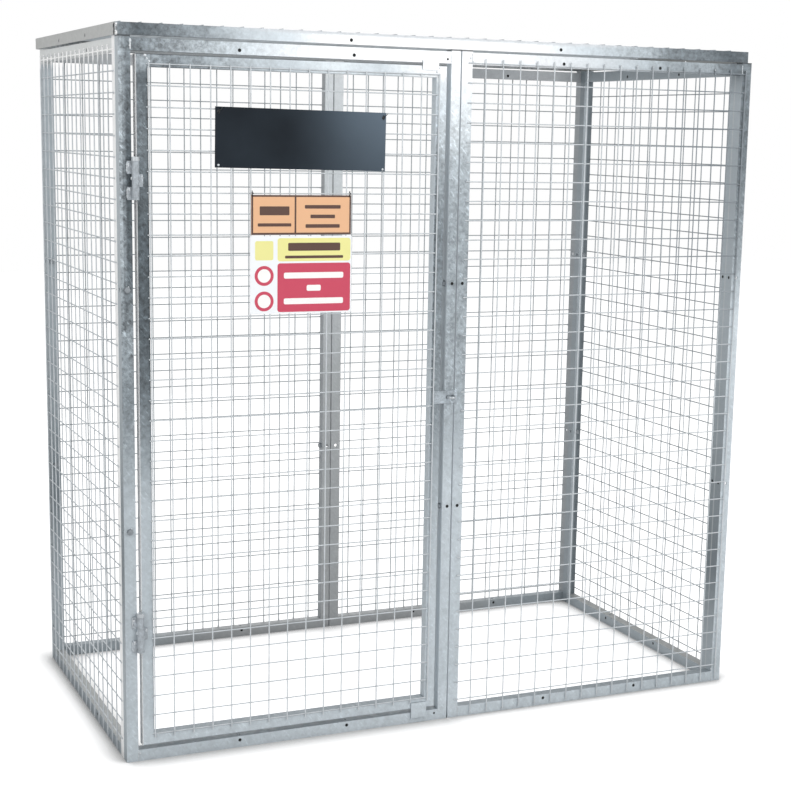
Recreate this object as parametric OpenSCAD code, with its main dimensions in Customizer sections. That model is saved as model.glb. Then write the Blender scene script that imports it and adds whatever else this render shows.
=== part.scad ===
/* [Cage] */
// Width over the wall frames, two equal bays
cage_w = 1800; // [1400:10:2400]
// Depth over the wall frames
cage_d = 950; // [700:10:1300]
// Gap that the zinc leaves between the frames of two bays
bay_gap = 4; // [1:0.5:5]
// Height of the wall frames
wall_h = 1810; // [1500:10:2200]

/* [Angle iron] */
// Width of each leg of the angle
leg = 30; // [28:1:40]
// Thickness of the angle
leg_t = 3; // [2:0.5:5]
// Radius in the root of the angle
root_r = 4; // [2:0.5:6]
// Radius on the toe of each leg
toe_r = 1.5; // [0.5:0.25:1.75]
// Diameter of the bolt holes
hole_d = 9; // [8.5:0.1:11]
// Distance from the heel to the holes in the face of a rail
rail_gauge = 10.5; // [9.5:0.5:14]
// How far the top rails sit below the ends of the stiles
rail_drop = 5; // [0:0.5:6]
// Diameter of the small drain holes beside the door
drain_d = 6; // [4:0.5:8]
// Distance from the end of the door surround to its drain holes
drain_in = 41; // [36:1:60]

/* [Roof] */
// How far the roof frame stands past the left wall
roof_past_left = 6; // [0:1:6]
// How far the roof frame stops short of the right wall
roof_short_right = 13; // [0:1:20]
// Distance from the top of the roof band to its holes
band_hole_down = 18; // [12:1:20]
// Length of the notch behind the front left corner of the roof
roof_notch = 16; // [6:1:20]

/* [Mesh] */
// Thickness of the mesh wires
wire_d = 3; // [2:0.5:4]
// Distance between neighbouring wires
pitch = 50.8; // [40:0.4:80]
// How far wire ends stop short of the outer edge of a frame
wire_end = 8; // [4:1:12]
// The same for the level wires of the front mesh
front_level_end = 18; // [8:1:22]
// Extra stop of the upper wire ends, below the top edge
wire_top_drop = 20; // [10:1:22]
// First upright of the front mesh, from the left edge of its frame
front_first = 66.8; // [55:0.1:80]
// First upright of the left mesh, from its rear edge
left_first = 22.9; // [10:0.1:40]
// First upright of the meshes that lie on flange edges
rear_first = 76; // [40:1:90]
// First level wire above the floor, meshes on a frame face
face_level = 51; // [36:0.5:60]
// First level wire above the floor, meshes on flange edges
rear_level = 51; // [36:0.5:60]
// First upright of the door mesh, from the edge of the door
door_first = 31; // [20:0.5:40]
// First level wire of the door mesh, from the foot of the door
door_level = 28.8; // [15:0.1:40]
// How far the upright wires of the door stop short of its ends
door_wire_end = 20; // [10:1:25]
// How far the level wires of the door stop short of its sides
door_level_end = 25; // [15:1:27]
// First lengthwise roof wire, from the front edge
roof_first_long = 33; // [30:1:45]
// First crosswise roof wire, from the left end of the roof
roof_first_cross = 16; // [14:1:24]
// How far the crosswise roof wires stop short of the front and rear edges
roof_cross_end = 15; // [10:1:22]

/* [Door] */
// Width and depth of the square tube of the door
tube = 30; // [25:1:40]
// Wall of the square tube
tube_t = 2; // [1.5:0.5:4]
// Gap at each side of the door
side_gap = 12; // [10:0.5:14]
// Gap over the door
end_gap_top = 7; // [6:0.5:12]
// Gap under the door
end_gap_foot = 10; // [6:0.5:14]
// How far the door stands proud of its surround
door_proud = 0.5; // [0.3:0.1:1]
// Diameter of the vent holes in the back of the door tube
vent_d = 8; // [5:0.5:12]

/* [Hinges] */
// Diameter of the hinge barrel
barrel_d = 18; // [16:0.5:18]
// Diameter of the hinge pin
pin_d = 10; // [6:0.5:11]
// Height of one knuckle
knuckle_h = 31; // [20:1:45]
// Distance from each end of the door to the middle of a hinge
hinge_inset = 298; // [150:1:400]
// Distance of the hinge axis in front of the surround
axis_front = 9; // [9:0.1:9.5]
// Thickness of the hinge leaves
leaf_t = 4.5; // [3:0.5:5]
// Reach of each leaf from the hinge axis
leaf_reach = 19; // [12:1:25]
// Radial running clearance of the pin in the door knuckle
pin_play = 0.05; // [0.02:0.01:0.08]
// Gap between neighbouring knuckles
knuckle_gap = 0.3; // [0.2:0.1:1]
// Diameter of the pin head
pin_head_d = 20; // [12:1:22]
// Height of the pin head
pin_head_h = 10; // [5:1:15]

/* [Hasp and stops] */
// Thickness of the hasp plate and of the stops
strap_t = 4; // [3:0.5:6]
// Length of the hasp plate
hasp_l = 68; // [62:1:74]
// Height of the hasp plate
hasp_h = 34; // [24:1:40]
// How far the hasp plate starts in from the edge of the door
hasp_in = 21; // [18:0.5:21]
// Diameter of the staple bar
staple_bar = 6; // [5:0.5:8]
// Distance between the two legs of the staple
staple_w = 17; // [15:1:19]
// How far the staple stands out from the post
staple_reach = 26; // [20:1:40]
// Clearance round the staple in the slot
slot_play = 1.75; // [1:0.25:3]
// Width of each door stop
stop_w = 45; // [25:1:70]
// Distance from the edge of the door to the stops
stop_in = 25.5; // [20:0.5:60]
// Overlap of the upper stop on the surround
stop_top_lap = 6; // [3:0.5:15]
// Overlap of the lower stop on the surround
stop_foot_lap = 16; // [3:0.5:20]
// Overlap of the upper stop on the door
stop_top_seat = 11; // [6:0.5:14]
// Overlap of the lower stop on the door
stop_foot_seat = 18; // [8:0.5:20]

/* [Fasteners] */
// Diameter of the bolts
bolt_d = 8; // [6:0.5:8]
// Length of the long bolts
long_bolt = 70; // [70:1:72]
// Length of the short bolts
short_bolt = 45; // [43:1:70]
// Width across the flats of heads and nuts
hex_af = 13; // [10:0.5:14]
// Height of the bolt heads
head_h = 5.3; // [3:0.1:6]
// Height of the nuts
nut_h = 6.5; // [4:0.1:6.5]
// Diameter of the washers
washer_d = 16; // [14:1:18]
// Thickness of the washers
washer_t = 1.6; // [1:0.1:1.6]
// Clearance of the washers on the bolts
washer_play = 0.4; // [0.2:0.1:1]

/* [Sign plates] */
// How far the signs hang right of the middle of the door
signs_right = 10; // [0:1:40]
// Thickness of the sign plates
plate_t = 2; // [1:0.5:4]
// Width of the dark name plate
name_w = 450; // [200:1:600]
// Height of the dark name plate
name_h = 147; // [60:1:200]
// Tilt of the dark name plate in degrees
name_tilt = 0.6; // [0:0.1:1.5]
// Distance from the top of the door to the middle of the name plate
name_down = 194; // [150:1:250]
// Width of the orange plate
orange_w = 265; // [150:1:400]
// Height of the orange plate
orange_h = 98; // [60:1:110]
// Distance from the top of the door to the middle of the orange plate
orange_down = 380; // [370:1:400]
// Width of the notice board
notice_w = 271; // [150:1:400]
// Height of the notice board
notice_h = 195; // [100:1:220]
// Gap between the orange plate and the notice board
plate_gap = 4; // [1:0.5:10]

/* [Hidden] */
bay_w = cage_w / 2;
side_w = cage_d - 2 * leg;
roof_x = -roof_past_left;
roof_w = cage_w + roof_past_left - roof_short_right;
roof_z = wall_h + leg;
rail_top = wall_h - rail_drop;
mid_leg = leg / 2;
mesh_t = 2 * wire_d;
eps = 1;

door_x0 = leg + side_gap;
door_x1 = bay_w - leg - side_gap;
door_z0 = leg + end_gap_foot;
door_z1 = rail_top - leg - end_gap_top;
door_w = door_x1 - door_x0;
door_h = door_z1 - door_z0;
door_mid_x = (door_x0 + door_x1) / 2;
door_mid_z = (door_z0 + door_z1) / 2;
door_mesh_y = -door_proud - mesh_t;

axis_x = leg + side_gap * 7 / 12;
barrel_r = barrel_d / 2;
hinge_zs = [door_z0 + hinge_inset, door_z1 - hinge_inset];

hasp_x0 = door_x1 - hasp_in;
staple_x = bay_w - mid_leg;
slot_l = staple_w + staple_bar + 2 * slot_play;
slot_h = staple_bar + 2 * slot_play;

orange_z = door_z1 - orange_down;
notice_z = orange_z - orange_h / 2 - plate_gap - notice_h / 2;

third_zs = [wall_h / 3, 2 * wall_h / 3];
long_grip = 2 * leg;
short_grip = leg + leg_t;
along_x = [0, 90, 0];
along_y = [-90, 0, 0];

// Each long bolt: where its washer bears, and its direction
long_seats = [for (z = third_zs) [[mid_leg, 0, z], along_y]];

// Each short bolt, at the joint of the two bays and at the rear corners
short_seats = concat(
    [for (z = third_zs, y = [mid_leg, cage_d - mid_leg]) [[bay_w - leg, y, z], along_x]],
    [for (z = third_zs, x = [mid_leg, cage_w - mid_leg]) [[x, cage_d - 2 * leg, z], along_y]]
);

// The origin is the middle of the footprint, at floor level
module placed() {
    translate([-cage_w / 2, -(cage_d + mesh_t - staple_reach) / 2, 0]) children();
}

// Section of the rolled angle, heel at the origin
module angle_section() {
    difference() {
        union() {
            square([leg, leg_t]);
            square([leg_t, leg]);
            translate([leg_t, leg_t]) difference() {
                square(root_r);
                translate([root_r, root_r]) circle(root_r, $fn = 32);
            }
        }
        translate([leg - toe_r, leg_t - toe_r]) toe_cut();
        translate([leg_t - toe_r, leg - toe_r]) toe_cut();
    }
}

module toe_cut() {
    difference() {
        square(toe_r + eps);
        circle(toe_r, $fn = 32);
    }
}

// The same section with its heel towards the opening of the frame
module inner_heel_section() {
    translate([leg, 0]) mirror([1, 0]) angle_section();
}

// Section of the square door tube with its rounded edges
module tube_section() {
    edge_r = tube_t * 1.5;
    difference() {
        union() {
            translate([edge_r, 0]) square([tube - 2 * edge_r, tube]);
            translate([0, edge_r]) square([tube, tube - 2 * edge_r]);
            for (x = [edge_r, tube - edge_r], y = [edge_r, tube - edge_r])
                translate([x, y]) circle(edge_r, $fn = 32);
        }
        translate([tube_t, tube_t]) square(tube - 2 * tube_t);
    }
}

// One length along X with mitred ends, children give the section
module mitred_bar(length, width) {
    intersection() {
        translate([length, 0, 0]) rotate([0, -90, 0]) linear_extrude(length) children();
        translate([0, width + eps, 0]) rotate([90, 0, 0]) linear_extrude(width + 2 * eps)
            polygon([[0, 0], [length, 0], [length - width, width], [width, width]]);
    }
}

// Four mitred lengths welded to a rectangle in the XZ plane
module mitred_frame(w, h, width) {
    mitred_bar(w, width) children();
    translate([w, 0, h]) rotate([0, 180, 0]) mitred_bar(w, width) children();
    translate([0, 0, h]) rotate([0, 90, 0]) mitred_bar(h, width) children();
    translate([w, 0, 0]) rotate([0, -90, 0]) mitred_bar(h, width) children();
}

module hole_y(x, z, d = hole_d) {
    translate([x, -eps, z]) rotate([-90, 0, 0]) cylinder(h = leg_t + 2 * eps, d = d, $fn = 48);
}

// Holes at the thirds of every member, in the face and in the flange
module third_holes(w, left_flange) {
    inner = leg - leg_t;
    for (x = [w / 3, 2 * w / 3]) {
        hole_y(x, leg - rail_gauge);
        hole_y(x, rail_top - leg + rail_gauge);
        for (z = [inner, rail_top - leg])
            translate([x, mid_leg, z - eps]) cylinder(h = leg_t + 2 * eps, d = hole_d, $fn = 48);
    }
    for (z = third_zs) {
        hole_y(mid_leg, z);
        hole_y(w - mid_leg, z);
        for (x = [left_flange, w - leg])
            translate([x - eps, mid_leg, z]) rotate([0, 90, 0])
                cylinder(h = leg_t + 2 * eps, d = hole_d, $fn = 48);
    }
}

// Rail between two stiles from X0 to X1, its flange towards the opening
module rail(x0, x1) {
    translate([x1, 0, 0]) rotate([0, -90, 0]) linear_extrude(x1 - x0) inner_heel_section();
}

// Wall frame of angle iron, face at Y = 0 and flange to the rear, stiles over the full height
module wall_frame(w, left_heel_out = false) {
    butt = leg - eps;
    butt_left = left_heel_out ? leg_t - eps : butt;
    difference() {
        union() {
            linear_extrude(wall_h) mirror([left_heel_out ? 0 : 1, 0]) translate([left_heel_out ? 0 : -leg, 0])
                angle_section();
            translate([w - leg, 0, 0]) linear_extrude(wall_h) angle_section();
            rail(butt_left, w - butt);
            translate([w, 0, rail_top]) rotate([0, 180, 0]) rail(butt, w - butt_left);
        }
        third_holes(w, left_heel_out ? 0 : leg - leg_t);
    }
}

// Cuts the right edge of a left bay back, for the gap between the bays
module bay_gap_cut() {
    translate([bay_w - bay_gap, -eps, -eps]) cube([bay_gap + eps, leg + 2 * eps, wall_h + 2 * eps]);
}

// Wire of eight sides along Z, flats square to the axes
module wire(length) {
    rotate(22.5) cylinder(h = length, d = wire_d / cos(22.5), $fn = 8);
}

module uprights(first, last, z0, z1, y) {
    for (x = [first : pitch : last]) translate([x, y, z0]) wire(z1 - z0);
}

module levels(first, last, x0, x1, y) {
    for (z = [first : pitch : last]) translate([x0, y, z]) rotate([0, 90, 0]) wire(x1 - x0);
}

// Mesh on the face of a wall frame, level wires inside and uprights outside
module face_uprights(w, first) {
    uprights(first, w - wire_end, wire_end, wall_h - wire_top_drop, -1.5 * wire_d);
}

module face_levels(w, end = wire_end) {
    levels(face_level, rail_top - mid_leg, end, w - end, -0.5 * wire_d);
}

// Mesh across the edges of the flanges
module flange_uprights(w) {
    inner = leg - leg_t;
    uprights(rear_first, w - leg - wire_d, inner, rail_top - inner, leg + 1.5 * wire_d);
}

module flange_levels(w, start = leg - leg_t) {
    levels(rear_level, rail_top - leg - wire_d, start, w - leg + leg_t, leg + 0.5 * wire_d);
}

module at_left() {
    translate([0, leg + side_w, 0]) rotate([0, 0, -90]) children();
}

module at_right() {
    translate([cage_w - leg, 0, 0]) at_left() children();
}

module at_rear(x) {
    translate([x, cage_d - leg, 0]) children();
}

// Frames
module front_left_frame() {
    color("#9aa3aa") difference() {
        wall_frame(bay_w, true);
        for (z = [leg - rail_gauge, rail_top - leg + rail_gauge]) hole_y(bay_w - drain_in, z, drain_d);
        bay_gap_cut();
    }
}

module front_right_frame() {
    color("#b3bac0") translate([bay_w, 0, 0]) wall_frame(bay_w, true);
}

module left_side_frame() {
    color("#8f979d") at_left() wall_frame(side_w);
}

module right_side_frame() {
    color("#8f979d") at_right() wall_frame(side_w);
}

module rear_left_frame() {
    color("#9aa3aa") at_rear(0) difference() {
        wall_frame(bay_w);
        bay_gap_cut();
    }
}

module rear_right_frame() {
    color("#9aa3aa") at_rear(bay_w) wall_frame(bay_w, true);
}

// Roof rectangle, heel along the top outer edge
module roof_frame() {
    color("#a9b1b8") difference() {
        translate([roof_x, 0, roof_z]) rotate([-90, 0, 0])
            mitred_frame(roof_w, cage_d, leg) angle_section();
        for (x = [roof_w / 3, 2 * roof_w / 3], y = [0, cage_d - leg_t])
            translate([roof_x, y, 0]) hole_y(x, roof_z - band_hole_down);
        for (y = [cage_d / 3, 2 * cage_d / 3], x = [roof_x, roof_x + roof_w - leg_t])
            translate([x - eps, y, roof_z - band_hole_down]) rotate([0, 90, 0])
                cylinder(h = leg_t + 2 * eps, d = hole_d, $fn = 48);
        translate([roof_x - eps, leg_t, wall_h - eps]) cube([leg_t + 2 * eps, roof_notch, leg - leg_t + eps]);
    }
}

// Mesh panels
module front_uprights() {
    color("#d5dade") translate([bay_w, 0, 0]) face_uprights(bay_w, front_first);
}

module front_levels() {
    color("#d5dade") translate([bay_w, 0, 0]) face_levels(bay_w, front_level_end);
}

module left_uprights() {
    color("#d5dade") at_left() face_uprights(side_w, left_first);
}

module left_levels() {
    color("#d5dade") at_left() face_levels(side_w);
}

module right_uprights() {
    color("#c3c9ce") at_right() flange_uprights(side_w);
}

module right_levels() {
    color("#c3c9ce") at_right() flange_levels(side_w);
}

module rear_left_uprights() {
    color("#c3c9ce") at_rear(0) flange_uprights(bay_w);
}

module rear_left_levels() {
    color("#c3c9ce") at_rear(0) flange_levels(bay_w);
}

module rear_right_uprights() {
    color("#c3c9ce") at_rear(bay_w) flange_uprights(bay_w);
}

module rear_right_levels() {
    color("#c3c9ce") at_rear(bay_w) flange_levels(bay_w, bay_gap / 2);
}

// Roof mesh, its crosswise wires on the flanges and the lengthwise ones under them
module roof_long_wires() {
    color("#c3c9ce") for (y = [roof_first_long : pitch : cage_d - roof_first_long])
        translate([roof_x + leg + eps, y, roof_z - 0.5 * wire_d]) rotate([0, 90, 0])
            wire(roof_w - 2 * (leg + eps));
}

module roof_cross_wires() {
    color("#c3c9ce") for (x = [roof_first_cross : pitch : roof_w - wire_end])
        translate([roof_x + x, roof_cross_end, roof_z + 0.5 * wire_d]) rotate([-90, 0, 0])
            wire(cage_d - 2 * roof_cross_end);
}

// Door
module door_frame() {
    color("#aab2b8") translate([door_x0, -door_proud, door_z0]) difference() {
        mitred_frame(door_w, door_h, tube) tube_section();
        for (x = [tube / 2, door_w - tube / 2], z = [2 * tube, door_h - 2 * tube])
            translate([x, tube - tube_t - eps, z]) rotate([-90, 0, 0])
                cylinder(h = tube_t + 2 * eps, d = vent_d, $fn = 32);
    }
}

module door_uprights() {
    color("#d5dade") uprights(door_x0 + door_first, door_x1 - 0.7 * tube, door_z0 + door_wire_end,
        door_z1 - door_wire_end, -door_proud - 1.5 * wire_d);
}

module door_levels() {
    color("#d5dade") levels(door_z0 + door_level, door_z1 - tube / 2, door_x0 + door_level_end,
        door_x1 - door_level_end, -door_proud - 0.5 * wire_d);
}

// Hinges, one child height above and below the middle knuckle
module knuckle(h, bore, leaf_y, side) {
    difference() {
        union() {
            cylinder(h = h, r = barrel_r, $fn = 64);
            translate([min(0, side * leaf_reach), leaf_y - leaf_t, 0]) cube([leaf_reach, leaf_t, h]);
        }
        translate([0, 0, -eps]) cylinder(h = h + 2 * eps, r = bore, $fn = 64);
    }
}

module at_hinges() {
    for (z = hinge_zs) translate([axis_x, -axis_front, z]) children();
}

module hinge_frame_knuckles() {
    color("#7f8a93") at_hinges() for (z = [-1.5 * knuckle_h, 0.5 * knuckle_h])
        translate([0, 0, z]) knuckle(knuckle_h, pin_d / 2, axis_front, -1);
}

module hinge_door_knuckles() {
    color("#7f8a93") at_hinges() translate([0, 0, -knuckle_h / 2 + knuckle_gap])
        knuckle(knuckle_h - 2 * knuckle_gap, pin_d / 2 + pin_play, axis_front - door_proud, 1);
}

module hinge_pins() {
    color("#c9ced2") at_hinges() {
        translate([0, 0, -1.5 * knuckle_h]) cylinder(h = 3 * knuckle_h, d = pin_d, $fn = 64);
        translate([0, 0, 1.5 * knuckle_h]) cylinder(h = pin_head_h, d = pin_head_d, $fn = 64);
    }
}

// Hasp, staple and stops
module hasp_plate() {
    color("#8d98a2") translate([hasp_x0, -door_proud - strap_t, door_mid_z - hasp_h / 2]) difference() {
        cube([hasp_l, strap_t, hasp_h]);
        for (x = [-1, 1]) translate([staple_x - hasp_x0 + x * (slot_l - slot_h) / 2, -eps, hasp_h / 2])
            rotate([-90, 0, 0]) cylinder(h = strap_t + 2 * eps, d = slot_h, $fn = 48);
        translate([staple_x - hasp_x0 - (slot_l - slot_h) / 2, -eps, (hasp_h - slot_h) / 2])
            cube([slot_l - slot_h, strap_t + 2 * eps, slot_h]);
    }
}

module hasp_staple() {
    straight = staple_reach - (staple_w + staple_bar) / 2;
    color("#c9ced2") translate([staple_x, 0, door_mid_z]) {
        for (x = [-staple_w / 2, staple_w / 2]) translate([x, 0, 0]) rotate([90, 0, 0])
            cylinder(h = straight, d = staple_bar, $fn = 48);
        translate([0, -straight, 0]) rotate([0, 0, 180]) rotate_extrude(angle = 180, $fn = 96)
            translate([staple_w / 2, 0]) circle(d = staple_bar, $fn = 48);
    }
}

module door_stop(z0, z1) {
    color("#b9c0c5") translate([door_x1 - stop_in - stop_w, -door_proud - strap_t, z0])
        cube([stop_w, strap_t, z1 - z0]);
}

module upper_door_stop() {
    door_stop(door_z1 - stop_top_seat, rail_top - leg + stop_top_lap);
}

module lower_door_stop() {
    door_stop(leg - stop_foot_lap, door_z0 + stop_foot_seat);
}

// Fasteners
module at_seats(seats) {
    for (s = seats) translate(s[0]) rotate(s[1]) children();
}

module hexagon(h) {
    cylinder(h = h, d = hex_af / cos(30), $fn = 6);
}

module bolt(length) {
    translate([0, 0, -washer_t - head_h]) hexagon(head_h);
    translate([0, 0, -washer_t]) cylinder(h = length, d = bolt_d, $fn = 48);
}

module nut(grip) {
    translate([0, 0, grip + washer_t]) difference() {
        hexagon(nut_h);
        translate([0, 0, -eps]) cylinder(h = nut_h + 2 * eps, d = bolt_d, $fn = 48);
    }
}

module washer_pair(grip) {
    for (z = [-washer_t, grip]) translate([0, 0, z]) difference() {
        cylinder(h = washer_t, d = washer_d, $fn = 48);
        translate([0, 0, -eps]) cylinder(h = washer_t + 2 * eps, d = bolt_d + washer_play, $fn = 48);
    }
}

module long_bolts() {
    color("#c9ced2") at_seats(long_seats) bolt(long_bolt);
}

module short_bolts() {
    color("#c9ced2") at_seats(short_seats) bolt(short_bolt);
}

module nuts() {
    color("#c9ced2") at_seats(long_seats) nut(long_grip);
    color("#c9ced2") at_seats(short_seats) nut(short_grip);
}

module washers() {
    color("#b9c0c5") at_seats(long_seats) washer_pair(long_grip);
    color("#b9c0c5") at_seats(short_seats) washer_pair(short_grip);
}

// Sign plates, on the outer wires of the door mesh
module sign_plate(x, z, w, h, tilt = 0) {
    translate([x, door_mesh_y - plate_t, z]) rotate([0, tilt, 0]) translate([-w / 2, 0, -h / 2])
        cube([w, plate_t, h]);
}

module name_plate() {
    color("#27343f") sign_plate(door_mid_x + signs_right, door_z1 - name_down, name_w, name_h, name_tilt);
}

module orange_plate() {
    color("#e6b48a") sign_plate(door_mid_x + signs_right, orange_z, orange_w, orange_h);
}

module notice_board() {
    color("#f2f2ee") sign_plate(door_mid_x + signs_right, notice_z, notice_w, notice_h);
}

placed() {
    front_left_frame();
    front_right_frame();
    left_side_frame();
    right_side_frame();
    rear_left_frame();
    rear_right_frame();
    roof_frame();
    front_uprights();
    front_levels();
    left_uprights();
    left_levels();
    right_uprights();
    right_levels();
    rear_left_uprights();
    rear_left_levels();
    rear_right_uprights();
    rear_right_levels();
    roof_long_wires();
    roof_cross_wires();
    door_frame();
    door_uprights();
    door_levels();
    hinge_frame_knuckles();
    hinge_door_knuckles();
    hinge_pins();
    hasp_plate();
    hasp_staple();
    upper_door_stop();
    lower_door_stop();
    long_bolts();
    short_bolts();
    nuts();
    washers();
    name_plate();
    orange_plate();
    notice_board();
}
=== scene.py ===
"""Looks of the gas cylinder cage: zinc, wire, welds, bare and coloured sign plates, studio and camera."""
import math
import random

import bmesh
import bpy
from mathutils import Matrix, Vector


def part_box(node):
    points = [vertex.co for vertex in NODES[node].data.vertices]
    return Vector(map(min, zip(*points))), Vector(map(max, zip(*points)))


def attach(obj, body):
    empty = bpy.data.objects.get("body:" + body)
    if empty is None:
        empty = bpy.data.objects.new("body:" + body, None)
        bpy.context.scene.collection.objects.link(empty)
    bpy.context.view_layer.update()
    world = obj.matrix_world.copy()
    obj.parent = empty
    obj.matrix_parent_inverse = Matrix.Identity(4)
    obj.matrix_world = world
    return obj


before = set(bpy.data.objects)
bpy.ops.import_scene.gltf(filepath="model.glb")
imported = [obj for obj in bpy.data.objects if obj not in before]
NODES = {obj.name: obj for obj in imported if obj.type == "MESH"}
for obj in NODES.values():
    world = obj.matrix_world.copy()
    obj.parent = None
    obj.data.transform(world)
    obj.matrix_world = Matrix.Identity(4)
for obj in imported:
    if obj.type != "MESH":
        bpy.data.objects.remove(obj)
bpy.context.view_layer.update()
X, Y, Z = range(3)

# Sizes in millimetres from the front left corner at the floor, as the part has them
ORIGIN_X, ORIGIN_Y = 900.0, 465.0
WALL_H = 1810.0
LEG = 30.0
RAIL_TOP = WALL_H - 5.0
SIDE_Y0, SIDE_Y1 = 30.0, 920.0
ROOF_X0, ROOF_Z = -6.0, WALL_H + LEG
DOOR_Y = -0.5
HINGE_Z = (337.0, 1470.0)

# Sizes in metres, for the materials
HALF_W = 0.9
WALL = 1.81
ROOF_START, ROOF_W = -0.906, 1.793

# The camera as fitted to the photograph: angles in radians, lens and centre in its pixels
YAW, PITCH, ROLL = 0.434868, 0.17708, 0.021653
PHOTO_W, PHOTO_H = 791.0, 800.0
FOCAL, CENTRE_X, CENTRE_Y = 1640.513, 443.183, 428.455
EYE = (-956.314, -3927.822, 1593.477)
SENSOR = 36.0


def at(x, y, z):
    """A point in the part's frame, in metres, from millimetres at the front left corner."""
    return Vector(((x - ORIGIN_X) / 1000.0, (y - ORIGIN_Y) / 1000.0, z / 1000.0))


def corners_mm(node):
    """A node's lowest and highest corners in millimetres from the front left corner."""
    return [(v.x * 1000 + ORIGIN_X, v.y * 1000 + ORIGIN_Y, v.z * 1000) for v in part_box(node)]


def make_camera():
    """The camera at the photograph's place, with its lens and framing."""
    upright = Vector((0, 0, 1))
    ahead = Vector((math.sin(YAW), math.cos(YAW), 0))
    side = Vector((math.cos(YAW), -math.sin(YAW), 0))
    forward = math.cos(PITCH) * ahead - math.sin(PITCH) * upright
    lift = math.sin(PITCH) * ahead + math.cos(PITCH) * upright
    right = math.cos(ROLL) * side + math.sin(ROLL) * lift
    up = -math.sin(ROLL) * side + math.cos(ROLL) * lift
    data = bpy.data.cameras.new("camera")
    data.sensor_fit = "HORIZONTAL"
    data.sensor_width = SENSOR
    data.lens = FOCAL / PHOTO_W * SENSOR
    data.shift_x = (PHOTO_W / 2 - CENTRE_X) / PHOTO_W
    data.shift_y = (CENTRE_Y - PHOTO_H / 2) / PHOTO_W
    data.clip_end = 50.0
    cam = bpy.data.objects.new("camera", data)
    place = at(*EYE)
    cam.matrix_world = Matrix((
        (right.x, up.x, -forward.x, place.x),
        (right.y, up.y, -forward.y, place.y),
        (right.z, up.z, -forward.z, place.z),
        (0, 0, 0, 1)))
    bpy.context.scene.collection.objects.link(cam)
    bpy.context.scene.camera = cam


# Materials


def shade(colour):
    """A linear colour from a hex string or a linear triple."""
    if isinstance(colour, str):
        levels = [int(colour[i:i + 2], 16) / 255.0 for i in (1, 3, 5)]
        colour = [c / 12.92 if c <= 0.04045 else ((c + 0.055) / 1.055) ** 2.4 for c in levels]
    return (*colour, 1.0)


def cool(level):
    """The slightly blue grey of zinc at an sRGB level of 0 to 255, as a linear triple."""
    tint = min(1.0, (255.0 - level) / 40.0)
    return shade("#" + "".join("%02x" % round(min(255.0, level + d * tint)) for d in (-8, 1, 7)))[:3]


def cools(*stops):
    """Stops of a ramp from places and grey levels."""
    return [(place, cool(level)) for place, level in stops]


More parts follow.
